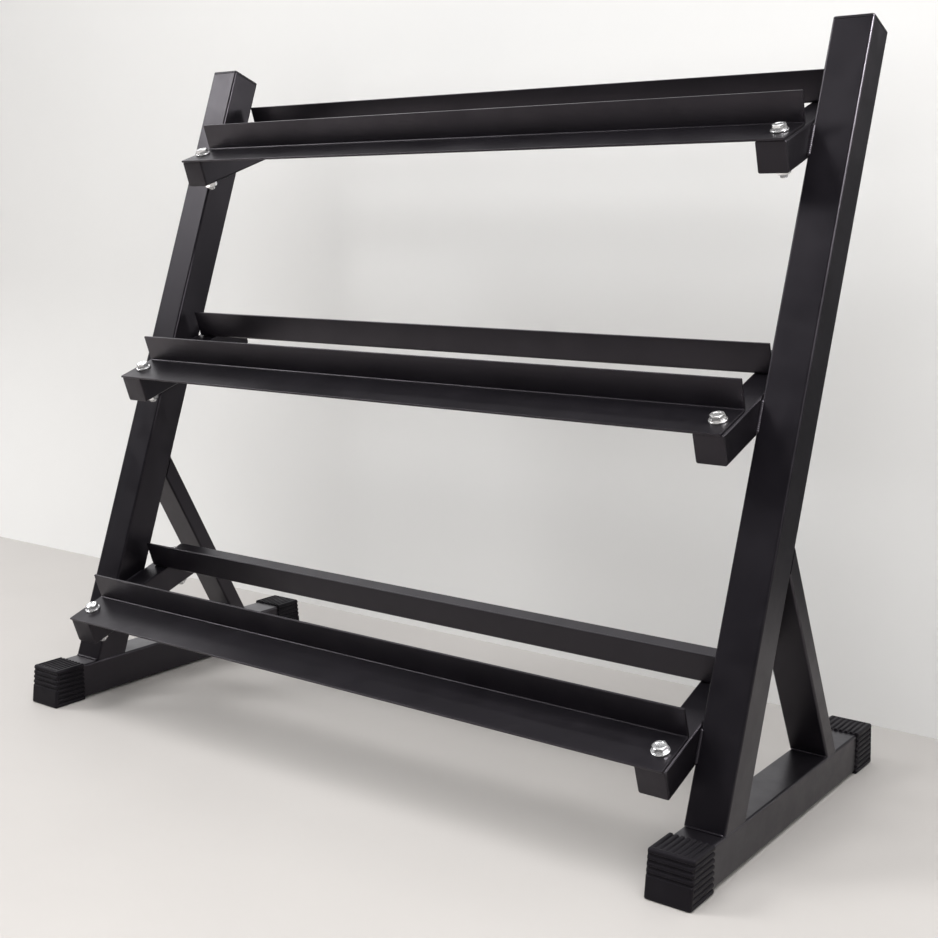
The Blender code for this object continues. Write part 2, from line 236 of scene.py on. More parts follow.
def rounded_rectangle(width, height, radius):
    across, up = width / 2 - radius, height / 2 - radius
    corners = ((across, up, 0), (-across, up, 90), (-across, -up, 180), (across, -up, 270))
    return [point for x, z, start in corners for point in arc((x, z), radius, start, start + 90)]


def inset(outline, distance):
    """The counter-clockwise outline moved inwards, point by point along its own normal."""
    moved = []
    for index, (x, z) in enumerate(outline):
        before, after = outline[index - 1], outline[(index + 1) % len(outline)]
        along = Vector((after[0] - before[0], after[1] - before[1])).normalized()
        moved.append((x - along.y * distance, z + along.x * distance))
    return moved


def loft(rings, ring_loop=False):
    """Closed bmesh through rings of equal length: a loop of rings, or a stack with two ends."""
    shape = bmesh.new()
    loops = [[shape.verts.new(point) for point in ring] for ring in rings]
    pairs = list(zip(loops, loops[1:]))
    if ring_loop:
        pairs.append((loops[-1], loops[0]))
    else:
        shape.faces.new(loops[0])
        shape.faces.new(loops[-1])
    for lower, upper in pairs:
        for index in range(len(lower)):
            following = (index + 1) % len(lower)
            shape.faces.new((lower[index], lower[following], upper[following], upper[index]))
    return shape


def piece(name, shape, material, nodes=(), place=Matrix.Identity(4), sharp_degrees=SHARP):
    """Turns a bmesh into a shown piece that rides on the rack and stands for its CAD nodes."""
    shape.transform(place)
    bmesh.ops.recalc_face_normals(shape, faces=shape.faces)
    mesh = bpy.data.meshes.new(name)
    shape.to_mesh(mesh)
    shape.free()
    mesh.shade_smooth()
    mesh.set_sharp_from_angle(angle=math.radians(sharp_degrees))
    mesh.materials.append(material)
    made = bpy.data.objects.new(name, mesh)
    bpy.context.scene.collection.objects.link(made)
    flats = made.modifiers.new("flat_faces", "WEIGHTED_NORMAL")
    flats.keep_sharp = True
    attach(made, "root")
    if nodes:
        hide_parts(*nodes)


def tilted(x, y, z, angle=0.0):
    return Matrix.Translation((x, y, z)) @ Matrix.Rotation(angle, 4, "X")


# ---------------------------------------------------------------- tubes and plugs
END_EASE = 0.0004           # broken edge of a sawn tube end
PLUG_EDGE, PLUG_CROWN = 0.0014, 0.0005          # rounding of a head's rim, and rise of its middle
# share of a head's width, and share of the crown's rise there
CROWN_PROFILE = ((0.25, 1.0), (0.6, 0.75), (0.9, 0.18))
CROWN_ROUNDNESS = 0.4       # a crown ring's corner radius, as a share of the tube's
EDGE_TURNS = (90, 65, 40, 20, 0)
EDGE_TIGHTENING = 0.6       # how far the rim's corner radius shrinks with its inset
PLUG_RIB, PLUG_TAPER = 0.0008, 0.0012           # narrowing between the ribs and at the tip
PLUG_RIB_PITCH, PLUG_RIB_BANK = 0.0025, 0.25    # the bank of a rib is this share of its pitch


def tube(width, height, wall, corner, length, start_cut=0.0, end_cut=0.0):
    """Hollow tube along local +Y with broken end edges. A cut is its end's run per metre of height."""
    outer = rounded_rectangle(width, height, corner)
    inner = rounded_rectangle(width - 2 * wall, height - 2 * wall, corner - wall)
    eased = inset(outer, END_EASE)

    def ring(outline, distance, cut):
        return [(x, distance + cut * z, z) for x, z in outline]

    return loft((ring(inner, 0.0, start_cut), ring(eased, 0.0, start_cut),
                 ring(outer, END_EASE, start_cut), ring(outer, length - END_EASE, end_cut),
                 ring(eased, length, end_cut), ring(inner, length, end_cut)), ring_loop=True)


def plug(size, wall, corner, head, spigot):
    """Moulded tube insert along +Y: crowned head with a rounded edge, and ribs inside the tube."""
    rim = head - PLUG_CROWN
    edge = min(PLUG_EDGE, rim)
    rings = []

    def ring(width, radius, distance):
        rings.append([(x, distance, z) for x, z in rounded_rectangle(width, width, radius)])

    for share, rise in CROWN_PROFILE:
        ring((size - 2 * edge) * share, corner * share * CROWN_ROUNDNESS, rim + PLUG_CROWN * rise)
    for degrees in EDGE_TURNS:
        turn = math.radians(degrees)
        shrink = edge * (1 - math.cos(turn))
        ring(size - 2 * shrink, corner - shrink * EDGE_TIGHTENING, rim - edge + edge * math.sin(turn))
    ring(size, corner, 0.0)

    core, core_corner = size - 2 * wall - 2 * FIT_GAP, corner - wall
    ring(core - PLUG_RIB, core_corner, 0.0)
    ribs = max(2, int(spigot / PLUG_RIB_PITCH))
    for rib in range(ribs):
        from_head = spigot * (rib + 0.5) / ribs
        ring(core - PLUG_RIB, core_corner, -from_head + spigot * PLUG_RIB_BANK / ribs)
        ring(core, core_corner, -from_head)
    ring(core - PLUG_TAPER, core_corner, -spigot)
    return loft(rings)


# ---------------------------------------------------------------- foot caps
GROOVE_WIDTH, GROOVE_DEPTH = 0.0034, 0.0021
# places of lattice lines across a groove, in groove widths from its middle
GROOVE_LINES = (-0.62, -0.46, -0.32, 0, 0.32, 0.46, 0.62)
GROOVE_SLOPE, GROOVE_ROUNDING = 0.30, 1.4       # width of a groove's bank, and how full its rib is
CAP_LIP = 0.0010            # rounding of the mouth
CAP_WAIST = 0.020           # place of the lattice ring between the mouth and the grooves' ends
SIDE_RUN_OUT = 0.0030       # the side grooves fade over this length before the end wall's corner
TOP_RUN_OUT, TOP_STOP = 0.0035, 0.0040          # the same on top, and where those grooves end
CORNER_TURNS = (0, 15, 30, 45)                  # degrees of the lattice lines round a corner


def corner_steps(turns):
    return [CAP_CORNER * (1 - math.tan(math.radians(turn))) for turn in turns]


def cap_lines(high, centres, low=0.0):
    """Lattice lines across one side of a cap: close together in its corners and at each groove."""
    corner = corner_steps(CORNER_TURNS)
    lines = [low + step for step in corner] + [high - step for step in corner]
    for centre in centres:
        lines += [centre + GROOVE_WIDTH * share for share in GROOVE_LINES]
    return sorted(lines)


def groove(position, centres):
    """Depth share of the groove at this position: 0 on a rib, 1 on a groove's floor."""
    nearest = min(abs(position - centre) for centre in centres) / GROOVE_WIDTH
    return max(0.0, min(1.0, (GROOVE_LINES[-1] - nearest) / GROOVE_SLOPE)) ** GROOVE_ROUNDING


def fade(position, start, end):
    share = max(0.0, min(1.0, (position - start) / (end - start)))
    return 1 - share * share * (3 - 2 * share)


def foot_cap():
    """Ribbed cap, mouth towards local -Y and end wall towards +Y, with its socket for the tube."""
    half, reach, corner = CAP / 2, CAP_MOUTH + CAP_END, CAP_CORNER
    spread = [(index - (CAP_GROOVES - 1) / 2) * CAP_GROOVE_PITCH for index in range(CAP_GROOVES)]
    heights = [half + offset for offset in spread]
    face_heights = heights[-CAP_FACE_GROOVES:]
    side_end, top_end = reach - corner, reach - TOP_STOP
    xs = cap_lines(half, spread, -half)
    zs = cap_lines(CAP, heights)
    ys = [0.0, EASE_STEP * CAP_LIP, CAP_LIP, CAP_WAIST]
    ys += [side_end - SIDE_RUN_OUT, side_end - SIDE_RUN_OUT / 2, side_end]
    ys += [reach - step for step in corner_steps(CORNER_TURNS[1:])]
    last_x, last_y, last_z = len(xs) - 1, len(ys) - 1, len(zs) - 1
    shape = bmesh.new()
    outside, inside = {}, {}

    def outer(i, j, k):
        if (i, j, k) not in outside:
            point = Vector((xs[i], ys[j], zs[k]))
            core = Vector((max(corner - half, min(half - corner, point.x)), min(point.y, side_end),
                           max(corner, min(CAP - corner, point.z))))
            normal = (point - core).normalized()
            on_sides = groove(point.z, heights) * fade(point.y, side_end - SIDE_RUN_OUT, side_end)
            on_top = groove(point.x, spread) * fade(point.y, top_end - TOP_RUN_OUT, top_end)
            depth = abs(normal.x) * on_sides + max(0.0, normal.z) * on_top
            depth += max(0.0, normal.y) * groove(point.z, face_heights)
            place = core + normal * (corner - GROOVE_DEPTH * min(1.0, depth))
            if point.y < CAP_LIP:
                place -= normal * (CAP_LIP - math.sqrt(CAP_LIP ** 2 - (CAP_LIP - point.y) ** 2))
            place.y *= 1 + CAP_FLARE * (1 - place.z / CAP) / reach
            outside[i, j, k] = shape.verts.new(place)
        return outside[i, j, k]

    def inner(i, j, k):
        """Socket points, on the same lattice: j is 0 at the mouth and 1 at the socket's floor."""
        if (i, j, k) not in inside:
            clear = TUBE + 2 * FIT_GAP
            x = xs[i] / half * clear / 2
            z = (CAP - clear) / 2 + zs[k] / CAP * clear
            inside[i, j, k] = shape.verts.new((x, j * (CAP_MOUTH + FIT_GAP), z))
        return inside[i, j, k]

    def quad(corners):
        shape.faces.new([point(*at) for point, at in corners])

    def skin(point, layers):
        """Faces of one lattice: its two sides, its top and bottom, and the end at the last layer."""
        for j in range(layers):
            for k in range(last_z):
                for i in (0, last_x):
                    quad([(point, (i, j, k)), (point, (i, j + 1, k)),
                          (point, (i, j + 1, k + 1)), (point, (i, j, k + 1))])
            for i in range(last_x):
                for k in (0, last_z):
                    quad([(point, (i, j, k)), (point, (i + 1, j, k)),
                          (point, (i + 1, j + 1, k)), (point, (i, j + 1, k))])
        for i in range(last_x):
            for k in range(last_z):
                quad([(point, (i, layers, k)), (point, (i + 1, layers, k)),
                      (point, (i + 1, layers, k + 1)), (point, (i, layers, k + 1))])

    skin(outer, last_y)
    skin(inner, 1)
    rim = [(i, 0) for i in range(last_x)] + [(last_x, k) for k in range(last_z)]
    rim += [(i, last_z) for i in range(last_x, 0, -1)] + [(0, k) for k in range(last_z, 0, -1)]
    for (i, k), (next_i, next_k) in zip(rim, rim[1:] + rim[:1]):
        quad([(outer, (i, 0, k)), (outer, (next_i, 0, next_k)),
              (inner, (next_i, 0, next_k)), (inner, (i, 0, k))])
    return shape


# ---------------------------------------------------------------- fasteners
HEX_POINTS = 48
# radius, and depth below the top, of the rings of a bolt head's dished top
HEAD_DISH = ((0.0008, 0.0007), (0.0040, 0.0007), (0.0048, 0.0004), (0.0054, 0.0),
             (0.0068, 0.0), (0.0073, 0.00005))
CHAMFER_SLOPE = math.tan(math.radians(30))
# radii of the circles where the chamfer cones start, as shares of the width across flats
TOP_CHAMFER, UNDER_CHAMFER = 0.47, 0.53
HEAD_BREAK = 0.985          # across flats of a head's top ring, as a share of the full hexagon
# depths of the head's hexagon rings, two from its top and one from its underside
HEAD_TOP_EDGE, HEAD_TOP_FLAT, HEAD_UNDER_FLAT = 0.0001, 0.0004, 0.0006
HEAD_FOOT, HEAD_FOOT_EDGE, HEAD_FOOT_HEIGHT = 0.0080, 0.0079, 0.0004        # round face under the head
THREAD_IN_NUT = 0.15        # share of the nut's height where the cut thread starts
THREAD_STEPS = 8            # rings in one turn of the thread
TIP_CHAMFER = 0.0011        # how much thinner a bolt's tip is than its shank, in radius
NUT_MOUTH, NUT_MOUTH_DEPTH = 0.0062, 0.0006     # countersink of the bore
NUT_FACE, NUT_EDGE = 0.0076, 0.0001             # radius of a flat face, and depth of its chamfer's start
WASHER_EDGE = 0.0004        # rounding of a washer's lower rim
# the upper rim: how far in from the side, and how far below the top, in the same roundings
WASHER_RIM = ((0.0, 2.0), (0.3, 0.8), (1.4, 0.1), (2.4, 0.0))


def circle(radius):
    turns = [math.tau * index / HEX_POINTS for index in range(HEX_POINTS)]
    return [(radius * math.cos(angle), radius * math.sin(angle)) for angle in turns]


def hexagon(across_flats):
    outline = []
    for index in range(HEX_POINTS):
        angle = math.tau * index / HEX_POINTS
        radius = across_flats / 2 / math.cos(angle % (math.pi / 3) - math.pi / 6)
        outline.append((radius * math.cos(angle), radius * math.sin(angle)))
    return outline


def flat(outline, level):
    return [(x, y, level) for x, y in outline]


def chamfered(outline, level, direction, start=TOP_CHAMFER):
    """A hexagon's ring, cut back by a 30 degree cone where it passes the cone's circle."""
    ring = []
    for x, y in outline:
        beyond = max(0.0, math.hypot(x, y) - start * HEX_ACROSS_FLATS)
        ring.append((x, y, level - direction * beyond * CHAMFER_SLOPE))
    return ring


def thread(start, tip):
    """Rings of a cut thread from its start down to the bolt's tip, which is chamfered."""
    rings = []
    count = int((start - tip) / THREAD_PITCH * THREAD_STEPS)
    for step in range(count + 1):
        level = start - (start - tip) * step / count
        ring = []
        for index in range(HEX_POINTS):
            angle = math.tau * index / HEX_POINTS
            share = (level / THREAD_PITCH + index / HEX_POINTS) % 1.0
            depth = THREAD_DEPTH * (1 - abs(2 * share - 1)) * min(1.0, step / THREAD_STEPS)
            radius = min(BOLT_RADIUS - depth, BOLT_RADIUS - TIP_CHAMFER + (level - tip))
            ring.append((radius * math.cos(angle), radius * math.sin(angle), level))
        rings.append(ring)
    return rings


def hex_bolt(tip):
    """Hexagon bolt: dished and chamfered head, plain shank and a cut thread at the tip."""
    under = FIT_GAP + WASHER_THICKNESS
    top = under + HEAD_HEIGHT
    outline = hexagon(HEX_ACROSS_FLATS)
    thread_start = tip + THREAD_END + NUT_HEIGHT * THREAD_IN_NUT
    rings = [flat(circle(radius), top - sink) for radius, sink in HEAD_DISH]
    rings += [chamfered(hexagon(HEX_ACROSS_FLATS * HEAD_BREAK), top - HEAD_TOP_EDGE, 1),
              chamfered(outline, top - HEAD_TOP_FLAT, 1),
              chamfered(outline, under + HEAD_UNDER_FLAT, -1, UNDER_CHAMFER),
              flat(circle(HEAD_FOOT), under + HEAD_FOOT_HEIGHT),
              flat(circle(HEAD_FOOT_EDGE), under),
              flat(circle(BOLT_RADIUS), under),
              flat(circle(BOLT_RADIUS), thread_start + THREAD_PITCH)]
    return loft(rings + thread(thread_start, tip))


def hex_nut():
    outline = hexagon(HEX_ACROSS_FLATS)
    bore = circle(BOLT_RADIUS + 2 * FIT_GAP)
    mouth, face = circle(NUT_MOUTH), circle(NUT_FACE)
    low = -NUT_HEIGHT
    return loft((flat(bore, -NUT_MOUTH_DEPTH), flat(mouth, 0.0), flat(face, 0.0),
                 chamfered(outline, -NUT_EDGE, 1), chamfered(outline, low + NUT_EDGE, -1),
                 flat(face, low), flat(mouth, low), flat(bore, low + NUT_MOUTH_DEPTH)), ring_loop=True)


def washer():
    """Flat washer with a small edge below and a wider, rounded edge above."""
    hole, bottom, top = circle(WASHER_HOLE), FIT_GAP, FIT_GAP + WASHER_THICKNESS
    rings = [flat(hole, bottom), flat(circle(WASHER_RADIUS - WASHER_EDGE), bottom),
             flat(circle(WASHER_RADIUS), bottom + WASHER_EDGE)]
    rings += [flat(circle(WASHER_RADIUS - inwards * WASHER_EDGE), top - below * WASHER_EDGE)
              for inwards, below in WASHER_RIM]
    return loft(rings + [flat(hole, top)], ring_loop=True)


# ---------------------------------------------------------------- welds
BEAD_STEP, BEAD_SIDES = 0.0005, 12
BEAD_PITCH, BEAD_RIPPLE = 0.0024, 0.055         # ripples along a bead, and their height's share
BEAD_CRESCENT = 1.1         # how far a ripple lags behind on the bead's flanks, in radians
BEAD_SWELL, BEAD_SWELL_LENGTH = 0.10, 0.011     # slow change of the width
BEAD_END = 0.05             # squared share of the width at a bead's blunt ends
BEAD_REFERENCE = Vector((0.31, -0.83, 0.46))    # along no weld, so that it can turn every ring
FOOT_BEAD = 0.0017          # radius of the beads round the uprights' and braces' ends
ARM_BEAD, ARM_FILLET_BEAD = 0.0026, 0.0017      # the same up the uprights' edges, and on an arm's faces
# a bead round a tube's end lies flush at its sides and low, and turns up to stand proud at both faces
SEAM_FLUSH, SEAM_DROP, SEAM_PROUD, SEAM_TURN = 0.0021, 0.0019, 0.0002, 0.0040


def walk_along(points):
    """Close-set (point, distance) pairs along the path, without its last point, and its length."""
    walk, travelled = [], 0.0
    for start, end in zip(points, points[1:]):
        length = (end - start).length
        count = max(1, round(length / BEAD_STEP))
        for step in range(count):
            walk.append((start.lerp(end, step / count), travelled + length * step / count))
        travelled += length
    return walk, travelled


def bead(path, radius, closed=False):
    """Rippled weld bead along a list of points, with crescent ripples and slightly uneven width."""
    points = [Vector(point) for point in path]
    walk, travelled = walk_along(points + points[:1] if closed else points)
    if not closed:
        walk.append((points[-1], travelled))
    phase, slow = random.uniform(0, math.tau), random.uniform(0, math.tau)
    rings = []
    for index, (centre, distance) in enumerate(walk):
        ahead = walk[(index + 1) % len(walk) if closed else min(index + 1, len(walk) - 1)][0]
        behind = walk[index - 1 if closed else max(index - 1, 0)][0]
        along = (ahead - behind).normalized()
        side = along.cross(BEAD_REFERENCE).normalized()
        up = side.cross(along)
        size = radius * (1 + BEAD_SWELL * math.sin(distance / BEAD_SWELL_LENGTH + slow))
        if not closed:
            size *= min(1.0, math.sqrt(BEAD_END + min(distance, travelled - distance) / radius))
        ring = []
        for corner in range(BEAD_SIDES):
            angle = math.tau * corner / BEAD_SIDES
            lag = BEAD_CRESCENT * math.sin(angle + slow)
            ripple = math.sin(math.tau * distance / BEAD_PITCH + phase + lag)
            reach = size * (1 + BEAD_RIPPLE * ripple)
            ring.append(centre + side * math.cos(angle) * reach + up * math.sin(angle) * reach)
        rings.append(ring)
    return loft(rings, ring_loop=closed)


def seam_weld(name, path):
    """Closed bead round a tube's end, in the frame's own coat."""
    piece(name, bead(path, FOOT_BEAD, closed=True), POWDER_COAT, sharp_degrees=SHARP_BEAD)


def arm_weld(name, path, radius):
    piece(name, bead(path, radius), WELD_COAT_PAINTED_HIGHLIGHT, sharp_degrees=SHARP_BEAD)


def foot_seam(x, front, rear, level):
    """Path of a weld round a tube's foot: in the corner before and behind it, flush at its sides."""
    near, beside = TUBE / 2 - SEAM_TURN, TUBE / 2 - SEAM_FLUSH
    high, low = level + SEAM_PROUD, level - SEAM_DROP
    return [(x - near, front - SEAM_PROUD, high), (x + near, front - SEAM_PROUD, high),
            (x + beside, front + SEAM_TURN, low), (x + beside, rear - SEAM_TURN, low),
            (x + near, rear + SEAM_PROUD, high), (x - near, rear + SEAM_PROUD, high),
            (x - beside, rear - SEAM_TURN, low), (x - beside, front + SEAM_TURN, low)]


# ---------------------------------------------------------------- side frames
def side_frame(side):
    low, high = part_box("base_tube_" + side)
    x = (low.x + high.x) / 2
    base_top = high.z + FIT_GAP
    piece("base_tube_" + side, tube(TUBE, TUBE, TUBE_WALL, TUBE_CORNER, high.y - low.y), POWDER_COAT,
          ["base_tube_" + side], tilted(x, low.y, (low.z + high.z) / 2))

    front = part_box("upright_" + side)[0].y
    rear = front + TUBE / math.cos(LEAN)
    foot_y = front + TUBE / 2 / math.cos(LEAN)
    angle = math.pi / 2 - LEAN
    stand = tilted(x, foot_y, base_top, angle)
    upright = tube(TUBE, TUBE, TUBE_WALL, TUBE_CORNER, UPRIGHT_LENGTH, start_cut=-1 / math.tan(angle))
    piece("upright_" + side, upright, POWDER_COAT, ["upright_" + side], stand)
    piece("upright_plug_" + side, plug(TUBE, TUBE_WALL, TUBE_CORNER, PLUG_HEAD, PLUG_SPIGOT),
          PLUG_PLASTIC, ["upright_plug_" + side],
          stand @ Matrix.Translation((0, UPRIGHT_LENGTH + FIT_GAP, 0)))
    seam_weld("weld_upright_foot_" + side, foot_seam(x, front, rear, base_top))

    brace(side, x, foot_y, base_top)
    for end, turn in (("front", math.pi), ("rear", 0.0)):
        name = "foot_cap_%s_%s" % (end, side)
        cap_low, cap_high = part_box(name)
        mouth = cap_high.y if end == "front" else cap_low.y
        place = Matrix.Translation((x, mouth, 0.0)) @ Matrix.Rotation(turn, 4, "Z")
        piece(name, foot_cap(), CAP_PLASTIC, [name], place, sharp_degrees=SHARP_CAP)


def brace(side, x, upright_foot_y, base_top):
    """Rectangular tube from the back of the base up to the upright's rear face, and its welds."""
    angle = math.pi / 2 + BRACE_LEAN
    along = Vector((0, math.cos(angle), math.sin(angle)))
    across = Vector((0, -along.z, along.y))
    face = Vector((0, math.cos(LEAN), -math.sin(LEAN)))
    upright = Vector((0, math.sin(LEAN), math.cos(LEAN)))
    foot = Vector((0, BRACE_FOOT, base_top))
    on_axis = Vector((0, upright_foot_y, base_top))

    def run_to(start, distance):
        """How far from start, going up the brace, to this distance behind the upright's axis."""
        return (distance - (start - on_axis).dot(face)) / along.dot(face)

    shape = tube(TUBE, BRACE_DEPTH, TUBE_WALL, TUBE_CORNER, run_to(foot, TUBE / 2 + FIT_GAP),
                 start_cut=-along.y / along.z, end_cut=-across.dot(face) / along.dot(face))
    piece("rear_brace_" + side, shape, POWDER_COAT, ["rear_brace_" + side],
          tilted(x, BRACE_FOOT, base_top, angle))

    reach = BRACE_DEPTH / 2 / math.cos(BRACE_LEAN)
    seam_weld("weld_brace_foot_" + side, foot_seam(x, BRACE_FOOT - reach, BRACE_FOOT + reach, base_top))

    def meets(offset):
        """Point where a line of the brace's front or rear face meets the upright."""
        start = foot + across * offset
        return start + along * run_to(start, TUBE / 2)

    lower, upper = meets(BRACE_DEPTH / 2), meets(-BRACE_DEPTH / 2)
    near, beside = TUBE / 2 - SEAM_TURN, TUBE / 2 - SEAM_FLUSH
    path = []
    for sign, first, second in ((1, upper, lower), (-1, lower, upper)):
        proud = first + upright * SEAM_PROUD * sign + face * SEAM_PROUD
        path += [proud + Vector((x - sign * near, 0, 0)), proud + Vector((x + sign * near, 0, 0))]
        sunk = Vector((x + sign * beside, 0, 0)) - face * SEAM_DROP
        path += [first - upright * SEAM_TURN * sign + sunk, second + upright * SEAM_TURN * sign + sunk]
    seam_weld("weld_brace_top_" + side, path)


# ---------------------------------------------------------------- shelves
RAIL_FILLET = 0.0015        # inside radius of the bend
RAIL_TIP, RAIL_TIP_STEPS, RAIL_BEND_STEPS = 0.0008, 4, 10       # rounding of the long edges
RAIL_END_EASE = 0.0005      # broken edges at a rail's ends
BEAD_OUTWARD, BEAD_INWARD = 0.0013, 0.0014      # an arm's beads from its outer face, out and in
BEAD_SINK = 0.0004          # how far the beads up the upright's edges lie inside its faces
BEAD_FROM_FOOT, BEAD_FROM_TOP, BEAD_FROM_EDGE = 0.0035, 0.003, 0.006        # where the beads stop
FILLET_SINK = 0.0010        # the same for the beads on an arm's top and foot


def angle_section():
    """Rolled angle: flange forward of the heel at (0, 0), upstand behind it, counter-clockwise."""
    edge, steps = RAIL_TIP, RAIL_TIP_STEPS
    tip, top = RAIL_THICKNESS - RAIL_FLANGE, RAIL_UPSTAND - RAIL_THICKNESS
    bend = RAIL_BEND - RAIL_THICKNESS
    outline = arc((tip + edge, -edge), edge, 90, 180, steps)
    outline += arc((tip + edge, edge - RAIL_THICKNESS), edge, 180, 270, steps)
    outline += arc((-bend, bend), RAIL_BEND, 270, 360, RAIL_BEND_STEPS)
    outline += arc((RAIL_THICKNESS - edge, top - edge), edge, 0, 90, steps)
    outline += arc((edge, top - edge), edge, 90, 180, steps)
    outline += arc((-RAIL_FILLET, RAIL_FILLET), RAIL_FILLET, 360, 270, RAIL_BEND_STEPS)
    return outline


def rail(outline, length):
    half, ease = length / 2, RAIL_END_EASE
    ends = ((half, 1.0), (half - EASE_STEP * ease, EASE_STEP), (half - ease, 0.0))
    stations = [(-at, share) for at, share in ends] + [(at, share) for at, share in reversed(ends)]
    return loft([[(at, y, z) for y, z in inset(outline, ease * share)] for at, share in stations])


def arm_welds(place, side, sign, x_face, heel):
    """Beads where an arm lies against its upright: up both edges and along the arm's top and foot."""
    upright_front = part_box("upright_" + side)[0].y
    base_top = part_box("base_tube_left")[1].z + FIT_GAP
    top = -RAIL_THICKNESS - FIT_GAP
    foot = top - ARM
    arm_up = Vector((-math.sin(LEAN), math.cos(LEAN)))
    upright_up = Vector((math.sin(LEAN), math.cos(LEAN)))

    def on_edge(behind, level):
        """Point of the upright's edge, this far behind its front face, at a height on the arm."""
        start = Vector((upright_front + behind / math.cos(LEAN), base_top))
        return start + upright_up * ((level - (start - heel).dot(arm_up)) / upright_up.dot(arm_up))

    for row, behind in (("front", BEAD_SINK), ("rear", TUBE - BEAD_SINK)):
        ends = [on_edge(behind, level) for level in (foot + BEAD_FROM_FOOT, top - BEAD_FROM_TOP)]
        arm_weld("weld_arm_%s_%s" % (row, place),
                 [(x_face + sign * BEAD_OUTWARD, point.x, point.y) for point in ends], ARM_BEAD)
    for row, level in (("top", top - FILLET_SINK), ("under", foot + FILLET_SINK)):
        ends = [on_edge(behind, level) for behind in (BEAD_FROM_EDGE, TUBE - BEAD_FROM_EDGE)]
        arm_weld("weld_arm_%s_%s" % (row, place),
                 [(x_face - sign * BEAD_INWARD, point.x, point.y) for point in ends], ARM_FILLET_BEAD)


def turned_at_random(place):
    return place @ Matrix.Rotation(random.uniform(0, math.tau), 4, "Z")


def shelf_side(tier, side, sign, level, heel):
    """One arm with its plugs, welds and bolts, placed by the tier's slope."""
    place = "%s_%s" % (tier, side)
    low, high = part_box("arm_" + place)
    arm_x = (low.x + high.x) / 2
    arm_top = -RAIL_THICKNESS - FIT_GAP
    arm_z, arm_foot = arm_top - ARM / 2, arm_top - ARM
    start = (low.y - heel.x + arm_top * math.sin(LEAN)) / math.cos(LEAN)
    end = (high.y - heel.x + arm_foot * math.sin(LEAN)) / math.cos(LEAN)
    piece("arm_" + place, tube(ARM, ARM, ARM_WALL, ARM_CORNER, end - start), POWDER_COAT,
          ["arm_" + place], level @ Matrix.Translation((arm_x, start, arm_z)))
    for row, along, turn in (("front", start - FIT_GAP, math.pi), ("rear", end + FIT_GAP, 0.0)):
        name = "arm_plug_%s_%s" % (row, place)
        piece(name, plug(ARM, ARM_WALL, ARM_CORNER, ARM_PLUG_HEAD, ARM_PLUG_SPIGOT), PLUG_PLASTIC,
              [name],
              level @ Matrix.Translation((arm_x, along, arm_z)) @ Matrix.Rotation(turn, 4, "Z"))
    arm_welds(place, side, sign, sign * (abs(arm_x) + ARM / 2), heel)

    nut_top = arm_foot - FIT_GAP
    rear_bolt = RAIL_SPACING + RAIL_THICKNESS + BOLT_SETBACK
    for row, line in (("front", -BOLT_SETBACK), ("rear", rear_bolt)):
        spot = level @ Matrix.Translation((arm_x, line, 0.0))
        bolt_place, nut_place = turned_at_random(spot), turned_at_random(spot)
        label = "%s_%s" % (row, place)
        piece("bolt_" + label, hex_bolt(nut_top - NUT_HEIGHT - THREAD_END), ZINC,
              ["bolt_" + label], bolt_place, sharp_degrees=SHARP_HEX)
        piece("washer_" + label, washer(), ZINC, (), spot, sharp_degrees=SHARP_WASHER)
        piece("nut_" + label, hex_nut(), ZINC, ["nut_" + label],
              nut_place @ Matrix.Translation((0, 0, nut_top)), sharp_degrees=SHARP_HEX)


def shelf(tier):
    rail_low, rail_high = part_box("front_rail_" + tier)
    upstand_top = RAIL_THICKNESS * math.sin(LEAN) + (RAIL_UPSTAND - RAIL_THICKNESS) * math.cos(LEAN)
    heel = Vector((rail_low.y + (RAIL_FLANGE - RAIL_THICKNESS) * math.cos(LEAN),
                   rail_high.z - upstand_top))
    level = tilted(0.0, heel.x, heel.y, LEAN)
    rear_heel = RAIL_SPACING + RAIL_THICKNESS
    front_section = angle_section()
    rear_section = [(rear_heel - y, z) for y, z in reversed(front_section)]
    for row, section in (("front", front_section), ("rear", rear_section)):
        name = "%s_rail_%s" % (row, tier)
        low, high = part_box(name)
        piece(name, rail(section, high.x - low.x), POWDER_COAT, [name], level)
    for side, sign in SIDES:
        shelf_side(tier, side, sign, level, heel)


for side, _ in SIDES:
    side_frame(side)
for tier in TIERS:
    shelf(tier)


# ---------------------------------------------------------------- studio
STAGE_HALF = 6.0
WALL_Y = 0.40
WALL_HEIGHT = 3.0
MIRRORED_FLOOR = 0.85       # the coat mirrors the floor up to here, and the soft panels beyond
STAGE_ROUGHNESS = 0.6


def stage_material(name, colour, variation, scale):
    material = bpy.data.materials.new(name)
    material.use_nodes = True
    graph = Graph(material.node_tree)
    shader = material.node_tree.nodes["Principled BSDF"]
    place = graph.add("ShaderNodeTexCoord").outputs["Object"]
    mottle = graph.noise(place, scale, detail=4.0, roughness=0.6)
    darker = tuple(channel * (1 - variation) for channel in colour)
    body = graph.mix(mottle, tone(*darker), tone(*colour))
    material.node_tree.links.new(body, shader.inputs["Base Color"])
    shader.inputs["Roughness"].default_value = STAGE_ROUGHNESS
    return material


def seen_from_front_only(material):
    graph = Graph(material.node_tree)
    surface = material.node_tree.nodes["Principled BSDF"].outputs[0]
    clear = graph.add("ShaderNodeBsdfTransparent").outputs[0]
    behind = graph.add("ShaderNodeNewGeometry").outputs["Backfacing"]
    one_sided = graph.add("ShaderNodeMixShader", {0: behind, 1: surface, 2: clear}).outputs[0]
    output = material.node_tree.nodes["Material Output"]
    material.node_tree.links.new(one_sided, output.inputs["Surface"])


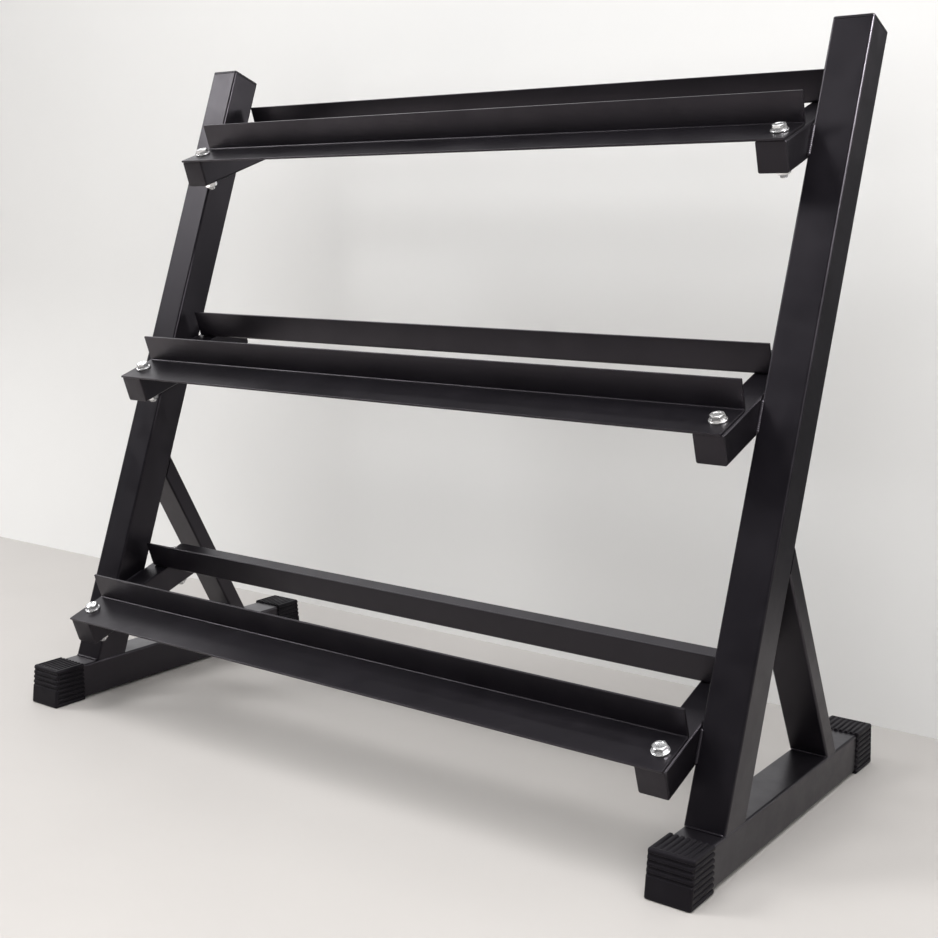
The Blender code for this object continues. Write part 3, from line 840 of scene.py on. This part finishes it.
def plane(name, corners, material, mirrored):
    mesh = bpy.data.meshes.new(name)
    mesh.from_pydata(corners, [], [(0, 1, 2, 3)])
    mesh.materials.append(material)
    made = bpy.data.objects.new(name, mesh)
    bpy.context.scene.collection.objects.link(made)
    made.visible_glossy = mirrored


def floor(name, near, far, mirrored):
    plane(name, [(-STAGE_HALF, near, 0), (STAGE_HALF, near, 0), (STAGE_HALF, far, 0),
                 (-STAGE_HALF, far, 0)], floor_material, mirrored)


floor_material = stage_material("floor", (0.47, 0.448, 0.430), variation=0.08, scale=3.0)
floor("floor", -STAGE_HALF, MIRRORED_FLOOR, True)
floor("floor_beyond", MIRRORED_FLOOR, STAGE_HALF, False)

# views from behind look past the wall, and the coat mirrors the soft panels instead of it
wall_material = stage_material("wall", (0.775, 0.77, 0.76), variation=0.03, scale=5.0)
seen_from_front_only(wall_material)
plane("wall", [(-STAGE_HALF, WALL_Y, 0), (STAGE_HALF, WALL_Y, 0), (STAGE_HALF, WALL_Y, WALL_HEIGHT),
               (-STAGE_HALF, WALL_Y, WALL_HEIGHT)], wall_material, False)


def area_light(name, location, target, size, power, mirrored_only=False):
    """Soft square light. It either lights the colours of things or is only mirrored by them."""
    light = bpy.data.lights.new(name, "AREA")
    light.shape = "SQUARE"
    light.size = size
    light.energy = power
    made = bpy.data.objects.new(name, light)
    bpy.context.scene.collection.objects.link(made)
    made.location = location
    made.rotation_euler = (Vector(target) - Vector(location)).to_track_quat("-Z", "Y").to_euler()
    made.visible_camera = False
    made.visible_glossy = mirrored_only
    made.visible_diffuse = not mirrored_only


area_light("ceiling_light", (0.3, -0.9, 2.7), (0.0, 0.0, 0.3), 2.2, 56.0)
area_light("window_light", (2.2, -1.8, 1.8), (0.0, 0.2, 0.3), 1.6, 24.0)
area_light("fill_light", (0.3, -2.8, 1.0), (0.0, 0.4, 0.5), 2.2, 30.0)
area_light("floor_light", (-1.95, -0.90, 0.60), (-1.95, -0.90, 0.0), 0.6, 18.0)
area_light("right_strip", (1.42, -0.06, 1.50), (0.54, 0.19, 0.88), 0.12, 34.0, mirrored_only=True)

# soft panels that the glossy coat mirrors: direction, brightness, and inner and outer half-angle
PANELS = (
    ((-0.72, -0.36, 0.63), 15.8, 4.0, 13.5),
    ((0.69, 0.67, 0.29), 4.6, 6.0, 14.0),
    ((-0.42, 0.88, 0.22), 0.75, 10.0, 32.0),
    ((-0.62, 0.46, 0.64), 0.95, 8.0, 30.0),
    ((-0.77, 0.50, 0.36), 0.50, 8.0, 26.0),
    ((0.05, 0.20, 1.00), 2.3, 10.0, 34.0),
    ((0.86, -0.20, 0.47), 0.8, 8.0, 24.0),
    ((-0.33, -0.76, 0.56), 0.10, 8.0, 26.0),
)
# brightness of the rest of the surroundings, which turns over from front to back in this depth
SURROUND_FRONT, SURROUND_BACK, SURROUND_DEPTH = 0.01, 0.12, 0.6
BACKDROP = (0.83, 0.83, 0.82)

world = bpy.data.worlds.new("studio")
bpy.context.scene.world = world
world.use_nodes = True
graph = Graph(world.node_tree)
toward = graph.add("ShaderNodeTexCoord").outputs["Generated"]
depth = graph.add("ShaderNodeSeparateXYZ", {0: toward}).outputs["Y"]
total = graph.span(depth, -SURROUND_DEPTH, SURROUND_DEPTH, SURROUND_FRONT, SURROUND_BACK)
for direction, brightness, inner_angle, outer_angle in PANELS:
    facing = graph.dot(toward, tuple(Vector(direction).normalized()))
    outer, inner = math.cos(math.radians(outer_angle)), math.cos(math.radians(inner_angle))
    total = graph.math("ADD", graph.span(facing, outer, inner, 0.0, brightness), total)
seen = graph.add("ShaderNodeLightPath").outputs["Is Camera Ray"]
lit = graph.add("ShaderNodeCombineXYZ", {0: total, 1: total, 2: total}).outputs[0]
sky = graph.mix(seen, lit, tone(*BACKDROP))
world.node_tree.links.new(sky, world.node_tree.nodes["Background"].inputs["Color"])


# ---------------------------------------------------------------- camera
CAMERA_PLACE = (1.1330, -1.4648, 0.6865)
CAMERA_HEADING = math.radians(36.036)     # turned left from looking along +Y
CAMERA_DOWN = math.radians(9.595)
CAMERA_ROLL = math.radians(0.396)
CAMERA_LENS, SENSOR_WIDTH = 52.85, 36.0
CAMERA_NEAR, CAMERA_FAR = 0.05, 50.0

camera_data = bpy.data.cameras.new("camera")
camera_data.lens = CAMERA_LENS
camera_data.sensor_width = SENSOR_WIDTH
camera_data.clip_start, camera_data.clip_end = CAMERA_NEAR, CAMERA_FAR
camera = bpy.data.objects.new("camera", camera_data)
bpy.context.scene.collection.objects.link(camera)
level_right = Vector((math.cos(CAMERA_HEADING), math.sin(CAMERA_HEADING), 0.0))
level_ahead = Vector((-math.sin(CAMERA_HEADING), math.cos(CAMERA_HEADING), 0.0))
ahead = level_ahead * math.cos(CAMERA_DOWN) - Vector((0.0, 0.0, math.sin(CAMERA_DOWN)))
level_up = level_right.cross(ahead)
right = level_right * math.cos(CAMERA_ROLL) + level_up * math.sin(CAMERA_ROLL)
up = level_up * math.cos(CAMERA_ROLL) - level_right * math.sin(CAMERA_ROLL)
axes = Matrix((right, up, -ahead)).transposed().to_4x4()
camera.matrix_world = Matrix.Translation(CAMERA_PLACE) @ axes
bpy.context.scene.camera = camera
bpy.context.scene.view_settings.view_transform = "Standard"
